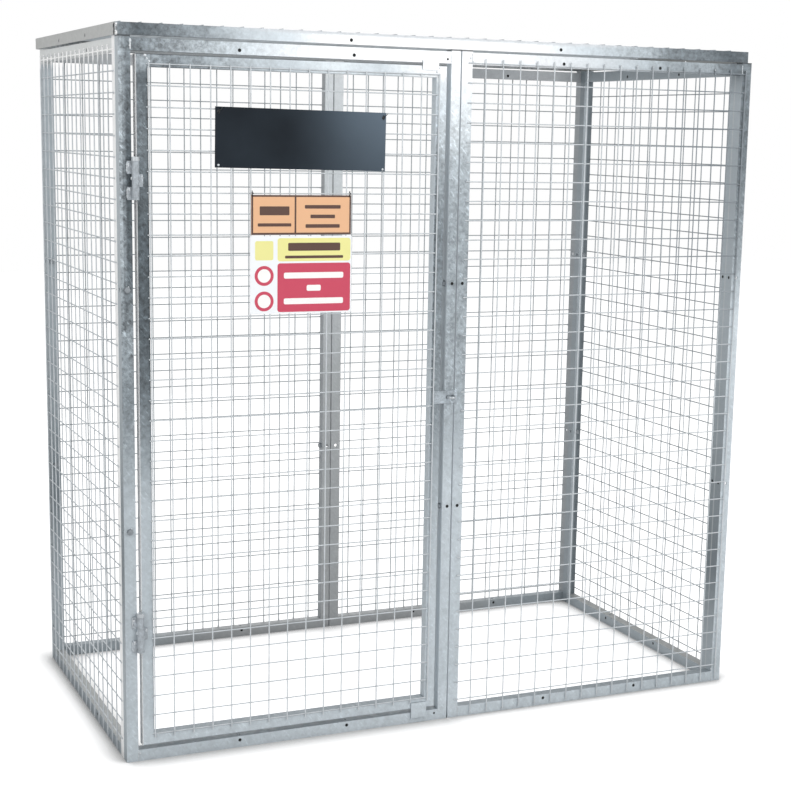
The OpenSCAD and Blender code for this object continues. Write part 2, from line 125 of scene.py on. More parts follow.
class Tree:
    """Short calls for building a material's nodes."""

    def __init__(self, name):
        self.mat = bpy.data.materials.new(name)
        self.mat.use_nodes = True
        self.nodes = self.mat.node_tree.nodes
        self.links = self.mat.node_tree.links
        self.shader = self.nodes["Principled BSDF"]

    def node(self, kind, **values):
        """A new node with its properties set."""
        made = self.nodes.new(kind)
        for key, value in values.items():
            setattr(made, key, value)
        return made

    def put(self, socket, value):
        """Links a socket, or sets it to a value."""
        if isinstance(value, bpy.types.NodeSocket):
            self.links.new(value, socket)
        else:
            socket.default_value = value

    def paint(self, socket, colour):
        """Links a colour socket, or sets it to a colour."""
        self.put(socket, colour if isinstance(colour, bpy.types.NodeSocket) else shade(colour))

    def math(self, kind, a, b=0.0, c=0.0, clamp=False):
        made = self.node("ShaderNodeMath", operation=kind, use_clamp=clamp)
        for socket, value in zip(made.inputs, (a, b, c)):
            self.put(socket, value)
        return made.outputs[0]

    def times(self, a, b):
        return self.math("MULTIPLY", a, b)

    def times_add(self, a, b, c, clamp=False):
        """a times b plus c."""
        return self.math("MULTIPLY_ADD", a, b, c, clamp)

    def rest(self, value):
        """What is left to 1."""
        return self.math("SUBTRACT", 1.0, value)

    def step(self, value, low, high):
        """0 below low and 1 above high, smooth between."""
        made = self.node("ShaderNodeMapRange", interpolation_type="SMOOTHSTEP")
        self.put(made.inputs["Value"], value)
        self.put(made.inputs["From Min"], low)
        self.put(made.inputs["From Max"], high)
        return made.outputs[0]

    def fade(self, value, low, high):
        """1 below low and 0 above high, smooth between."""
        return self.rest(self.step(value, low, high))

    def near(self, value, middle, half):
        """1 at the middle, falling to 0 at half away from it."""
        off = self.math("ABSOLUTE", self.math("SUBTRACT", value, middle))
        return self.fade(off, half * 0.55, half)

    def axes(self, vector):
        """The three parts of a vector."""
        split = self.node("ShaderNodeSeparateXYZ")
        self.put(split.inputs[0], vector)
        return split.outputs

    def coords(self):
        """The place on the object, in metres in the part's frame."""
        return self.node("ShaderNodeTexCoord").outputs["Object"]

    def facing(self, axis, sign):
        """1 where the surface faces along an axis of the part, else 0."""
        normal = self.axes(self.node("ShaderNodeTexCoord").outputs["Normal"])[axis]
        return self.step(self.times(normal, sign), 0.5, 0.85)

    def moved(self, vector, turn=(0, 0, 0), scale=(1, 1, 1)):
        """A vector scaled and then turned."""
        made = self.node("ShaderNodeMapping")
        self.put(made.inputs["Vector"], vector)
        made.inputs["Rotation"].default_value = turn
        made.inputs["Scale"].default_value = scale
        return made.outputs[0]

    def noise(self, vector, scale, detail=3.0, rough=0.55, distort=0.0):
        made = self.node("ShaderNodeTexNoise")
        self.put(made.inputs["Vector"], vector)
        made.inputs["Scale"].default_value = scale
        made.inputs["Detail"].default_value = detail
        made.inputs["Roughness"].default_value = rough
        made.inputs["Distortion"].default_value = distort
        return made.outputs["Fac"]

    def cells(self, vector, scale):
        """A random value for each crystal."""
        made = self.node("ShaderNodeTexVoronoi")
        self.put(made.inputs["Vector"], vector)
        made.inputs["Scale"].default_value = scale
        split = self.node("ShaderNodeSeparateColor")
        self.put(split.inputs[0], made.outputs["Color"])
        return split.outputs[0]

    def ramp(self, value, stops):
        made = self.node("ShaderNodeValToRGB")
        self.put(made.inputs[0], value)
        band = made.color_ramp
        while len(band.elements) > 1:
            band.elements.remove(band.elements[-1])
        band.elements[0].position = stops[0][0]
        band.elements[0].color = shade(stops[0][1])
        for place, colour in stops[1:]:
            band.elements.new(place).color = shade(colour)
        return made.outputs[0]

    def mix(self, factor, a, b):
        """Colour a where the factor is 0 and b where it is 1."""
        made = self.node("ShaderNodeMix", data_type="RGBA")
        self.put(made.inputs[0], factor)
        self.paint(made.inputs[6], a)
        self.paint(made.inputs[7], b)
        return made.outputs[2]

    def bright(self, colour, factor):
        """A colour or triple made lighter or darker by a factor."""
        made = self.node("ShaderNodeVectorMath", operation="SCALE")
        self.put(made.inputs[0], colour)
        self.put(made.inputs["Scale"], factor)
        return made.outputs[0]

    def bump(self, height, distance, strength):
        made = self.node("ShaderNodeBump")
        self.put(made.inputs["Height"], height)
        made.inputs["Distance"].default_value = distance
        made.inputs["Strength"].default_value = strength
        self.links.new(made.outputs[0], self.shader.inputs["Normal"])

    def finish(self, colour, rough, metal=0.0, specular=0.5):
        """Sets the shader and gives the material."""
        self.paint(self.shader.inputs["Base Color"], colour)
        self.put(self.shader.inputs["Roughness"], rough)
        self.shader.inputs["Metallic"].default_value = metal
        self.shader.inputs["Specular IOR Level"].default_value = specular
        return self.mat


def mottle(t, where):
    """Patchy zinc around 0: blotches, crystals and, on the uprights, slanting streaks of painted highlight.
    """
    blotch = t.noise(where, 48.0, detail=5.0, rough=0.65, distort=0.8)
    fine = t.noise(where, 130.0, rough=0.65)
    crystal = t.cells(where, 110.0)
    turned = t.moved(where, turn=(0, math.radians(-52), 0))
    slant = t.noise(t.moved(turned, scale=(42.0, 60.0, 160.0)), 1.0, rough=0.6)
    total = t.times_add(blotch, 1.9, -0.95)
    total = t.times_add(fine, 1.5, t.math("SUBTRACT", total, 0.75))
    total = t.times_add(crystal, 0.35, t.math("SUBTRACT", total, 0.175))
    # Painted highlight: lighter slanting streaks below the top rails
    upright = t.fade(t.axes(where)[Z], 1.68, 1.74)
    highlight_streak = t.times(t.step(slant, 0.55, 0.68), upright)
    return t.times_add(highlight_streak, 0.75, t.math("SUBTRACT", total, 0.12)), crystal, fine


def zinc_look(t, where, tone, spread, rough=0.5, metal=0.2):
    """Galvanised steel of a tone, broken up by the mottle."""
    patch, crystal, fine = mottle(t, where)
    colour = t.bright(tone, t.times_add(patch, spread, 1.0))
    t.bump(t.times_add(fine, 0.6, crystal), 0.0005, 0.3)
    return t.finish(colour, t.times_add(crystal, 0.16, rough - 0.08), metal)


def plain_zinc(name, tone, spread, **more):
    """Zinc of one tone, for small parts."""
    t = Tree(name)
    return zinc_look(t, t.coords(), shade(tone)[:3], spread, **more)


# Grey levels up the posts and the door, and along the rails, from 0 at one end to 1 at the other: the zinc's
# tone with the light and shade that fall there painted in, its brightest stretches being painted light
UP_LEFT = cools((0, 198), (0.06, 188), (0.36, 184), (0.52, 131), (0.6, 148), (0.68, 98), (0.78, 78),
                (0.86, 82), (1, 128))
UP_DOOR = cools((0, 202), (0.04, 200), (0.07, 189), (0.37, 186), (0.44, 152), (0.52, 110), (0.6, 90),
                (0.74, 86), (0.86, 116), (0.95, 100), (1, 118))
UP_MIDDLE = cools((0, 208), (0.04, 204), (0.07, 194), (0.36, 196), (0.46, 174), (0.55, 163), (0.74, 160),
                  (0.84, 178), (0.92, 226), (1, 246))
UP_RIGHT = cools((0, 200), (0.03, 186), (0.1, 203), (0.45, 200), (0.6, 212), (0.69, 168), (0.77, 140),
                 (0.86, 114), (1, 124))
UP_DOOR_RIGHT = cools((0, 202), (0.2, 200), (0.36, 176), (0.46, 148), (0.74, 128), (0.82, 158), (0.92, 214),
                      (1, 228))
UP_REAR = [(0.0, "#9da0a2"), (0.45, "#a8acae"), (0.65, "#bfc4c7"), (0.86, "#d3d9dc"), (1.0, "#dde2e5")]
UP_REAR_ENDS = cools((0, 160), (0.35, 172), (0.6, 186), (1, 188))
SIDE_LEFT = cools((0, 163), (0.1, 169), (0.19, 152), (0.28, 118), (0.36, 132), (0.45, 155), (0.55, 168),
                  (1, 178))
SIDE_RIGHT = cools((0, 194), (0.11, 166), (0.19, 130), (0.6, 188), (0.85, 184), (0.94, 194), (1, 158))
RAILS = cools((0, 126), (0.033, 131), (0.178, 208), (0.305, 246), (0.53, 244), (0.805, 184), (0.861, 150),
              (0.917, 160), (0.967, 104), (1, 130))
DOOR_TOP = cools((0.03, 160), (0.072, 136), (0.178, 186), (0.239, 196), (0.305, 220), (0.378, 204),
                 (0.444, 242))
BAND = cools((0, 136), (0.03, 88), (0.125, 152), (0.18, 192), (0.245, 212), (0.31, 250), (0.6, 248),
             (0.7, 206), (0.755, 184), (0.81, 174), (0.86, 124), (0.92, 114), (0.965, 82), (1, 104))
REAR_TOP = [(0.0, "#a2a5a8"), (0.3, "#b6babd"), (0.42, "#cfd2d4"), (0.6, "#eef0f1"), (0.7, "#989ca0"),
            (1.0, "#b2b6b9")]


def front_zinc(name, left, top, middle, door):
    """Front members: dark blotched zinc at the upper left, a middle painted bright as light falls there,
    plain grey elsewhere, and painted light and shade by the way each face looks.
    """
    t = Tree(name)
    where = t.coords()
    x, _, z = t.axes(where)
    up = t.math("DIVIDE", z, WALL)
    along = t.math("DIVIDE", t.math("ADD", x, HALF_W), 2 * HALF_W)
    tone = t.mix(t.step(x, -0.72, -0.3), t.ramp(up, left), t.ramp(up, middle))
    tone = t.mix(t.step(x, 0.3, 0.75), tone, t.ramp(up, UP_RIGHT))
    tone = t.mix(t.step(z, 1.715, 1.75), tone, t.ramp(along, top))
    # Painted light and shade: faces towards the left get their own tones, painted lighter at the joint of the
    # bays and in the gap beside the door, and tops another grey
    side = t.mix(t.step(x, -0.5, 0.5), t.ramp(up, SIDE_LEFT), t.ramp(up, SIDE_RIGHT))
    side = t.mix(t.near(x, -0.03, 0.06), side, cool(215))
    if door:
        side = t.mix(t.step(x, -0.84, -0.8), cool(252), side)
    leftward = t.facing(X, -1.0)
    tone = t.mix(leftward, tone, side)
    tone = t.mix(t.facing(Z, 1.0), tone, cool(148))
    # Painted highlights: the upper part of the corner post is lighter at its outer edge, and a light line
    # runs along its heel, stronger high up
    ahead = t.facing(Y, -1.0)
    if not door:
        outer_edge_highlight = t.times(t.fade(x, -0.888, -0.880), t.times(ahead, t.step(z, 1.12, 1.3)))
        tone = t.mix(t.times(outer_edge_highlight, 0.4), tone, cool(175))
    heel_highlight = t.times(t.near(x, -0.8970, 0.0065), ahead)
    heel_highlight_strength = t.times_add(t.step(z, 1.0, 1.3), 0.65, 0.1)
    tone = t.mix(t.times(heel_highlight, heel_highlight_strength), tone, cool(172))
    # The line of shade under the roof
    under = t.times(t.step(z, 1.8055, 1.8085), t.fade(z, 1.8105, 1.8115))
    tone = t.mix(t.times(under, 0.9), tone, "#34393d")
    # How strongly the zinc is blotched: most at the upper left, some at the joint and the upper right
    dark = t.times(t.fade(x, -0.82, -0.45), t.step(z, 0.6, 1.15))
    marked = t.times(t.near(x, 0.0, 0.5), t.near(z, 1.25, 0.5))
    marked = t.math("MAXIMUM", marked, t.times(t.step(x, 0.4, 0.85), t.step(z, 1.1, 1.4)))
    blotched = t.times_add(dark, 0.8, t.times_add(marked, 0.45, 0.16))
    spread = t.times(t.rest(leftward), blotched)
    return zinc_look(t, where, tone, t.math("ADD", spread, 0.04))


def band_zinc(name):
    """Roof frame: its front band from dark to bright and back with painted light, a painted highlight at its
    top edge and painted shade at its foot, plain grey at the left and behind.
    """
    t = Tree(name)
    where = t.coords()
    x, y, z = t.axes(where)
    tone = t.ramp(t.math("DIVIDE", t.math("SUBTRACT", x, ROOF_START), ROOF_W), BAND)
    # Painted highlight along the band's top edge, painted shade along its foot, and a painted white glint at
    # its left corner
    lip_highlight = t.times(t.step(z, 1.829, 1.8375), t.near(x, -0.05, 0.65))
    tone = t.mix(lip_highlight, tone, "#c4c8cc")
    foot = t.fade(z, 1.8105, 1.8125)
    tone = t.mix(t.times(foot, 0.8), tone, "#4e5357")
    corner = t.times(t.near(x, -0.904, 0.0045), t.step(t.noise(where, 150.0), 0.35, 0.6))
    tone = t.mix(t.times(corner, 0.9), tone, "#ffffff")
    tone = t.mix(t.step(y, -0.46, -0.3), tone, "#a5a9ac")
    # Painted light on the faces towards the left, painted shade on the faces underneath
    leftward = t.facing(X, -1.0)
    tone = t.mix(leftward, tone, "#adafae")
    tone = t.mix(t.facing(Z, -1.0), tone, "#8b9092")
    dark = t.math("MAXIMUM", t.fade(x, -0.85, -0.5), t.times(t.step(x, 0.3, 0.7), 0.8))
    spread = t.times(t.rest(leftward), t.times_add(dark, 0.8, 0.14))
    return zinc_look(t, where, tone, t.math("ADD", spread, 0.03))


def side_zinc(name, left):
    """Side frames: the left one painted lighter at its top and front end as light falls there, the right one
    with painted highlights at its joint and painted shade on its rear post.
    """
    t = Tree(name)
    where = t.coords()
    x, y, z = t.axes(where)
    up = t.math("DIVIDE", z, WALL)
    if left:
        # Painted light: the left frame's top rail and its front end are lighter
        tone = t.mix(t.step(z, 1.76, 1.775), t.ramp(up, SIDE_LEFT), "#d3d6d6")
        tone = t.mix(t.fade(y, -0.407, -0.402), tone, "#f2f3f3")
    else:
        tone = t.ramp(up, SIDE_RIGHT)
        # Painted highlights along the joints of the right frame's front post
        joint_highlight = t.math("MAXIMUM", t.near(y, -0.433, 0.0035), t.near(y, -0.406, 0.003))
        tone = t.mix(t.times(joint_highlight, 0.5), tone, "#d0d3d4")
        # Painted shade: the rear post is darker, most of all the outer half of the leg that faces the front
        tone = t.mix(t.step(y, 0.424, 0.428), tone, t.ramp(up, cools((0.8, 166), (0.94, 142))))
        painted_shade_leg = t.times(t.facing(Y, -1.0), t.step(y, 0.42, 0.424))
        tone = t.mix(painted_shade_leg, tone, t.ramp(x, cools((0.884, 176), (0.887, 112))))
    # Painted light and shade: faces on top get one grey
    tone = t.mix(t.facing(Z, 1.0), tone, "#a3a6a6")
    return zinc_look(t, where, tone, 0.07)


def rear_zinc(name):
    """Rear frames: lighter high up in the middle."""
    t = Tree(name)
    where = t.coords()
    x, _, z = t.axes(where)
    up = t.math("DIVIDE", z, WALL)
    ends = t.step(t.math("ABSOLUTE", x), 0.35, 0.75)
    tone = t.mix(ends, t.ramp(up, UP_REAR), t.ramp(up, UP_REAR_ENDS))
    high = t.ramp(t.times_add(x, 0.5, 0.5), REAR_TOP)
    tone = t.mix(t.step(z, 1.755, 1.775), tone, high)
    # Painted light and shade: faces towards the left get their own grey
    tone = t.mix(t.facing(X, -1.0), tone, "#a2a7ab")
    return zinc_look(t, where, tone, 0.12)


def wire_zinc(name, light, dark, far):
    """Round wire: another tone at the cage's upper right, painted shade on the undersides, and tips painted
    white as a highlight at the left wall's top.
    """
    t = Tree(name)
    where = t.coords()
    x, _, z = t.axes(where)
    soft = t.noise(where, 30.0)
    fine = t.noise(where, 420.0, rough=0.6)
    value = t.times_add(fine, 0.5, t.times_add(soft, 1.0, -0.25), clamp=True)
    tone = t.mix(value, dark, light)
    tone = t.mix(t.times(t.step(x, 0.35, 0.8), t.step(z, 0.9, 1.3)), tone, far)
    # Painted shade under the wires, and a painted white highlight on the tips at the left wall's top
    tone = t.mix(t.times(t.facing(Z, -1.0), 0.7), tone, "#60666b")
    tip_highlight = t.times(t.step(z, 1.745, 1.765), t.fade(x, -0.9, -0.895))
    tone = t.mix(tip_highlight, tone, "#ffffff")
    t.bump(fine, 0.0006, 0.5)
    return t.finish(tone, t.times_add(fine, 0.2, 0.45), specular=0.15)


def weld_zinc(name):
    """Lumpy zinc over weld metal."""
    t = Tree(name)
    fine = t.noise(t.coords(), 260.0, detail=4.0, rough=0.65)
    t.bump(fine, 0.0009, 0.7)
    tone = t.mix(t.times_add(fine, 1.6, -0.35, clamp=True), "#9aa2a8", "#f2f5f7")
    return t.finish(tone, t.times_add(fine, 0.3, 0.22), 0.3)


def painted(name, colour, second, rough):
    """Paint or plastic, a little clouded and grained."""
    t = Tree(name)
    where = t.coords()
    cloud = t.noise(where, 7.0, rough=0.5)
    grain = t.noise(where, 900.0, detail=2.0)
    value = t.times_add(grain, 0.15, t.times(cloud, 0.5), clamp=True)
    t.bump(grain, 0.0001, 0.3)
    return t.finish(t.mix(value, colour, second), t.times_add(cloud, 0.2, rough - 0.1))


def plate_navy(name):
    """Dark plate, lighter towards its upper right corner."""
    t = Tree(name)
    where = t.coords()
    x, _, z = t.axes(where)
    cloud = t.noise(where, 5.0, rough=0.5)
    grain = t.noise(where, 900.0, detail=2.0)
    value = t.times(t.step(x, -0.5, -0.18), t.times_add(t.step(z, 1.46, 1.66), 0.5, 0.5))
    value = t.times_add(cloud, 0.3, t.math("SUBTRACT", value, 0.15), clamp=True)
    t.bump(grain, 0.0001, 0.3)
    return t.finish(t.mix(value, "#08131c", "#5d6b78"), t.times_add(cloud, 0.15, 0.5), specular=0.18)


MAT = {
    "front": front_zinc("zinc_front", UP_LEFT, RAILS, UP_MIDDLE, door=False),
    "door": front_zinc("zinc_door", UP_DOOR, DOOR_TOP, UP_DOOR_RIGHT, door=True),
    "side_left": side_zinc("zinc_side_left", True),
    "side_right": side_zinc("zinc_side_right", False),
    "rear": rear_zinc("zinc_rear"),
    "roof": band_zinc("zinc_roof"),
    "hinge": plain_zinc("zinc_hinge", "#a1a8ae", 0.5),
    "hasp": plain_zinc("zinc_hasp", "#a4adb4", 0.6),
    "bolt": plain_zinc("zinc_bolt", "#8c9297", 0.3, rough=0.35, metal=0.4),
    "bright": plain_zinc("zinc_bright", "#b9bec2", 0.2, rough=0.34, metal=0.5),
    "wire_front": wire_zinc("wire_front", "#e0e4e7", "#aab1b6", "#858c92"),
    "wire_rear": wire_zinc("wire_rear", "#c0c6ca", "#929a9f", "#a6acb1"),
    "weld": weld_zinc("zinc_weld"),
    "navy": plate_navy("plate_navy"),
    "orange": painted("plate_orange", "#e4b48c", "#daa87e", 0.45),
    "board": painted("plate_white", "#eef1f4", "#e2e6ea", 0.45),
    "brown": painted("print_brown", "#4a3128", "#5b4034", 0.5),
    "yellow": painted("print_yellow", "#e8e497", "#dfdb8f", 0.5),
    "crimson": painted("print_crimson", "#c5435c", "#bc3c55", 0.5),
    "pale": painted("print_pale", "#f4f3f1", "#ecebe8", 0.5),
    "black": painted("nylon_black", "#16181a", "#26292c", 0.45),
    # Near black, for the painted shade in the holes
    "shadow": painted("painted_hole_shade", "#0b0c0d", "#15171a", 0.8),
}

NODES_OF = {
    "front": ("front_left_frame", "front_right_frame", "upper_door_stop", "lower_door_stop"),
    "door": ("door_frame",),
    "side_left": ("left_side_frame",),
    "side_right": ("right_side_frame",),
    "rear": ("rear_left_frame", "rear_right_frame"),
    "roof": ("roof_frame",),
    "hinge": ("hinge_frame_knuckles", "hinge_door_knuckles"),
    "hasp": ("hasp_plate",),
    "bolt": ("long_bolts", "short_bolts", "nuts", "washers"),
    "bright": ("hinge_pins", "hasp_staple"),
    "wire_front": ("front_uprights", "front_levels", "left_uprights", "left_levels", "door_uprights",
                   "door_levels"),
    "wire_rear": ("right_uprights", "right_levels", "rear_left_uprights", "rear_left_levels",
                  "rear_right_uprights", "rear_right_levels", "roof_long_wires", "roof_cross_wires"),
    "navy": ("name_plate",),
    "orange": ("orange_plate",),
    "board": ("notice_board",),
}


def dress_nodes():
    """Gives each node of the frame its material."""
    for look, names in NODES_OF.items():
        for name in names:
            node = NODES[name]
            if not node.material_slots:
                node.data.materials.append(MAT[look])
            for slot in node.material_slots:
                slot.material = MAT[look]


# Mesh helpers


def piece(name, bm, material, body, smooth=True):
    """Makes a mesh a piece of the scene that rides on a body."""
    mesh = bpy.data.meshes.new(name)
    bm.normal_update()
    bm.to_mesh(mesh)
    bm.free()
    if smooth:
        mesh.shade_smooth()
    mesh.materials.append(MAT[material])
    made = bpy.data.objects.new(name, mesh)
    bpy.context.scene.collection.objects.link(made)
    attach(made, body)


def ball(bm, detail=1):
    """The points of a new round lump of radius 1."""
    return bmesh.ops.create_icosphere(bm, subdivisions=detail, radius=1.0)["verts"]


def blob(bm, centre, size, rng, detail=2, rough=0.14):
    """A lump of weld metal, centre and half sizes in millimetres."""
    for v in ball(bm, detail):
        swell = 1.0 + rng.uniform(-rough, rough)
        v.co = at(centre[0] + v.co.x * size[0] * swell, centre[1] + v.co.y * size[1] * swell,
                  centre[2] + v.co.z * size[2] * swell)


def tube(bm, points, radius, sides=8, closed=False, swell=None):
    """A round bar along points in millimetres, swelling from point to point where swell says so."""
    pts = [Vector(p) for p in points]
    rings = []
    count = len(pts)
    for i, p in enumerate(pts):
        if closed:
            ahead = pts[(i + 1) % count] - pts[i - 1]
        else:
            ahead = pts[min(i + 1, count - 1)] - pts[max(i - 1, 0)]
        ahead.normalize()
        guide = Vector((0, 1, 0)) if abs(ahead.y) < 0.8 else Vector((1, 0, 0))
        u = ahead.cross(guide).normalized()
        v = ahead.cross(u).normalized()
        r = radius * (swell[i] if swell else 1.0)
        rings.append([bm.verts.new(at(*(p + r * (math.cos(a) * u + math.sin(a) * v))))
                      for a in (2 * math.pi * k / sides for k in range(sides))])
    pairs = list(zip(rings, rings[1:])) + ([(rings[-1], rings[0])] if closed else [])
    for a, b in pairs:
        for k in range(sides):
            bm.faces.new((a[k], a[(k + 1) % sides], b[(k + 1) % sides], b[k]))
    if not closed:
        bm.faces.new(rings[0][::-1])
        bm.faces.new(rings[-1])


def bead(bm, start, end, width, rng, step=2.2):
    """A rippled weld bead between two points in millimetres."""
    a, b = Vector(start), Vector(end)
    count = max(3, int((b - a).length / step) + 1)
    pts = [a.lerp(b, i / (count - 1)) for i in range(count)]
    swell = [(0.78 if i % 2 else 1.0) * rng.uniform(0.85, 1.12) for i in range(count)]
    swell[0] *= 0.55
    swell[-1] *= 0.55
    tube(bm, pts, width / 2, swell=swell)


def slab(bm, x0, x1, y, z0, z1, thick, radius=0.0, steps=6):
    """A thin printed field standing off towards the viewer, with rounded corners."""
    r = min(radius, (x1 - x0) / 2, (z1 - z0) / 2)
    outline = []
    for cx, cz, turn in ((x1 - r, z1 - r, 0), (x0 + r, z1 - r, 90), (x0 + r, z0 + r, 180),
                         (x1 - r, z0 + r, 270)):
        for k in range(steps + 1 if r > 0 else 1):
            a = math.radians(turn + 90.0 * k / steps)
            outline.append((cx + r * math.cos(a), cz + r * math.sin(a)))
    front = [bm.verts.new(at(x, y - thick, z)) for x, z in outline]
    back = [bm.verts.new(at(x, y, z)) for x, z in outline]
    bm.faces.new(front)
    bm.faces.new(back[::-1])
    for k in range(len(outline)):
        j = (k + 1) % len(outline)
        bm.faces.new((front[j], front[k], back[k], back[j]))


def bar(bm, middle_x, width, y, middle_z, height, thick, radius):
    """A printed field from its middle and size."""
    slab(bm, middle_x - width / 2, middle_x + width / 2, y, middle_z - height / 2, middle_z + height / 2,
         thick, radius)


def disc(bm, centre, axis, radius=4.4, half=0.4):
    """A flat round of shade inside a plate, across an axis of the part."""
    one, two = [i for i in range(3) if i != axis]
    rings = []
    for side in (-half, half):
        ring = []
        for k in range(16):
            p = list(centre)
            p[one] += radius * math.cos(k * math.pi / 8)
            p[two] += radius * math.sin(k * math.pi / 8)
            p[axis] += side
            ring.append(bm.verts.new(at(*p)))
        rings.append(ring)
    a, b = rings
    bm.faces.new(a[::-1])
    bm.faces.new(b)
    for k in range(16):
        bm.faces.new((a[k], a[(k + 1) % 16], b[(k + 1) % 16], b[k]))


# Welds of the mesh, sizes in metres: a nugget at each crossing and a blob near each end of a wire
NUGGET, NUGGET_DEPTH = 0.0019, 0.0014
BLOB, BLOB_DEPTH = 0.0022, 0.00135
END_INSET = 0.004
REACH = 0.001
WIRE_APART = 0.010

PANELS = (
    ("front", "cage", "wire_front", "front_uprights", X, "front_levels", Z),
    ("left", "cage", "wire_front", "left_uprights", Y, "left_levels", Z),
    ("right", "cage", "wire_rear", "right_uprights", Y, "right_levels", Z),
    ("rear_left", "cage", "wire_rear", "rear_left_uprights", X, "rear_left_levels", Z),
    ("rear_right", "cage", "wire_rear", "rear_right_uprights", X, "rear_right_levels", Z),
    ("roof", "cage", "wire_rear", "roof_cross_wires", X, "roof_long_wires", Y),
    ("door", "door", "wire_front", "door_uprights", X, "door_levels", Z),
)
WIRE_ENDS = (
    ("front_uprights", "cage", X, Z), ("front_levels", "cage", Z, X),
    ("left_uprights", "cage", Y, Z), ("left_levels", "cage", Z, Y),
    ("right_uprights", "cage", Y, Z), ("right_levels", "cage", Z, Y),
    ("rear_left_uprights", "cage", X, Z), ("rear_left_levels", "cage", Z, X),
    ("rear_right_uprights", "cage", X, Z), ("rear_right_levels", "cage", Z, X),
    ("roof_long_wires", "cage", Y, X), ("roof_cross_wires", "cage", X, Y),
    ("door_uprights", "door", X, Z), ("door_levels", "door", Z, X),
)


def wires_of(node, axis):
    """Middles of the wires of a node across their length, read from its own vertices."""
    values = sorted(v.co[axis] for v in NODES[node].data.vertices)
    groups = []
    for value in values:
        if groups and value - groups[-1][1] < WIRE_APART:
            groups[-1][1] = value
        else:
            groups.append([value, value])
    return [(a + b) / 2 for a, b in groups]


def crossing_welds(name, body, material, one, axis_one, two, axis_two, seed):
    """A nugget wherever a wire of one node crosses a wire of the other."""
    low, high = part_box(one)
    low2, high2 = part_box(two)
    depth_axis = 3 - axis_one - axis_two
    depth = (min(high[depth_axis], high2[depth_axis]) + max(low[depth_axis], low2[depth_axis])) / 2
    rng = random.Random(seed)
    bm = bmesh.new()
    for a in wires_of(one, axis_one):
        if not low2[axis_one] - REACH < a < high2[axis_one] + REACH:
            continue
        for b in wires_of(two, axis_two):
            if not low[axis_two] - REACH < b < high[axis_two] + REACH:
                continue
            centre = [0.0, 0.0, 0.0]
            centre[axis_one], centre[axis_two], centre[depth_axis] = a, b, depth
            size = [NUGGET * rng.uniform(0.85, 1.2)] * 3
            size[depth_axis] = NUGGET_DEPTH
            for v in ball(bm):
                v.co = Vector(centre) + Vector([v.co[i] * size[i] for i in range(3)])
    piece(name, bm, material, body)


def end_welds(name, body, node, across, along, seed):
    """A weld blob near both ends of each wire of a node."""
    low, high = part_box(node)
    depth = 3 - across - along
    rng = random.Random(seed)
    bm = bmesh.new()
    for a in wires_of(node, across):
        for end, inward in ((low[along], END_INSET), (high[along], -END_INSET)):
            centre = [0.0, 0.0, 0.0]
            centre[across] = a + rng.uniform(-0.0006, 0.0006)
            centre[along] = end + inward * rng.uniform(0.7, 1.2)
            centre[depth] = (low[depth] + high[depth]) / 2
            grow = rng.uniform(0.75, 1.25)
            for v in ball(bm):
                part = [0.0, 0.0, 0.0]
                part[across] = v.co[across] * BLOB * grow
                part[along] = v.co[along] * BLOB * 1.5 * grow
                part[depth] = v.co[depth] * BLOB_DEPTH
                wobble = 1.0 + rng.uniform(-0.12, 0.12)
                v.co = Vector([centre[i] + part[i] * wobble for i in range(3)])
    piece(name, bm, "weld", body)


def mesh_welds():
    """All the welds of the mesh panels."""
    for seed, (panel, body, material, one, axis_one, two, axis_two) in enumerate(PANELS):
        crossing_welds("crossing_welds_" + panel, body, material, one, axis_one, two, axis_two, seed)
    for seed, (node, body, across, along) in enumerate(WIRE_ENDS, 40):
        end_welds("end_welds_" + node, body, node, across, along, seed)


def frame_welds(rng):
    """Beads and lumps where the front frames are welded up, and on the posts' side of the hinges."""
    bm = bmesh.new()
    foot, head = (2.0, 29.0), (RAIL_TOP - 28.0, RAIL_TOP - 2.0)
    for x, (low, high), width in (
            (30.0, foot, 2.6), (30.0, head, 4.4), (870.0, head, 2.6), (930.0, foot, 2.6), (930.0, head, 2.6),
            (1770.0, foot, 2.6), (1770.0, head, 2.6)):
        bead(bm, (x, 0.2, low), (x, 0.2, high), width, rng)
    for x, z, size in ((30, 1797, 3.2), (29.5, 1786, 2.8), (924, 1790, 2.6), (931, 1781, 2.8),
                       (1724, 24, 1.8), (34, 20, 2.4), (1769, 37, 2.4), (18.8, 1213, 2.2), (18.5, 611, 2.0)):
        blob(bm, (x, 0.0, z), (size, 1.6, size * 1.3), rng)
    for z in HINGE_Z:
        for low, high in ((-44.0, -18.0), (18.0, 44.0)):
            bead(bm, (18.5, -1.8, z + low), (18.5, -1.8, z + high), 5.0, rng, 3.0)
        blob(bm, (21.5, -2.5, z + 37.0), (3.6, 3.0, 5.5), rng)
        blob(bm, (23.0, -2.5, z - 21.0), (3.8, 3.0, 6.0), rng)
        blob(bm, (29.0, -6.5, z + 5.0), (3.0, 3.6, 5.0), rng)
    piece("frame_welds", bm, "weld", "cage")


def door_welds(rng):
    """Lumps at the door's mitres, and the welds of its hinge leaves and of the hasp."""
    bm = bmesh.new()
    for x, z, size in ((65.6, 1765, 3.6), (75, 1751, 3.2), (70, 1758, 2.6), (72.5, 1738, 2.0),
                       (829, 1752, 2.6), (836, 1762, 2.4), (71, 70, 2.2), (829, 69, 2.2)):
        blob(bm, (x, DOOR_Y + 0.2, z), (size, 1.4, size), rng)
    for z in HINGE_Z:
        bead(bm, (55.5, -2.2, z - 13.0), (55.5, -2.2, z + 13.0), 4.6, rng, 3.0)
        blob(bm, (52.5, -3.6, z + 9.0), (3.4, 2.6, 4.6), rng)
        blob(bm, (45.0, -7.0, z - 8.0), (3.2, 3.4, 4.4), rng)
    (left, _, foot), (_, _, head) = corners_mm("hasp_plate")
    for z in (foot + 3, head - 3):
        blob(bm, (left + 1, -1.6, z), (3.4, 2.2, 3.4), rng)
    bead(bm, (left, -1.2, foot + 2), (left, -1.2, head - 2), 4.0, rng)
    piece("door_welds", bm, "weld", "door")


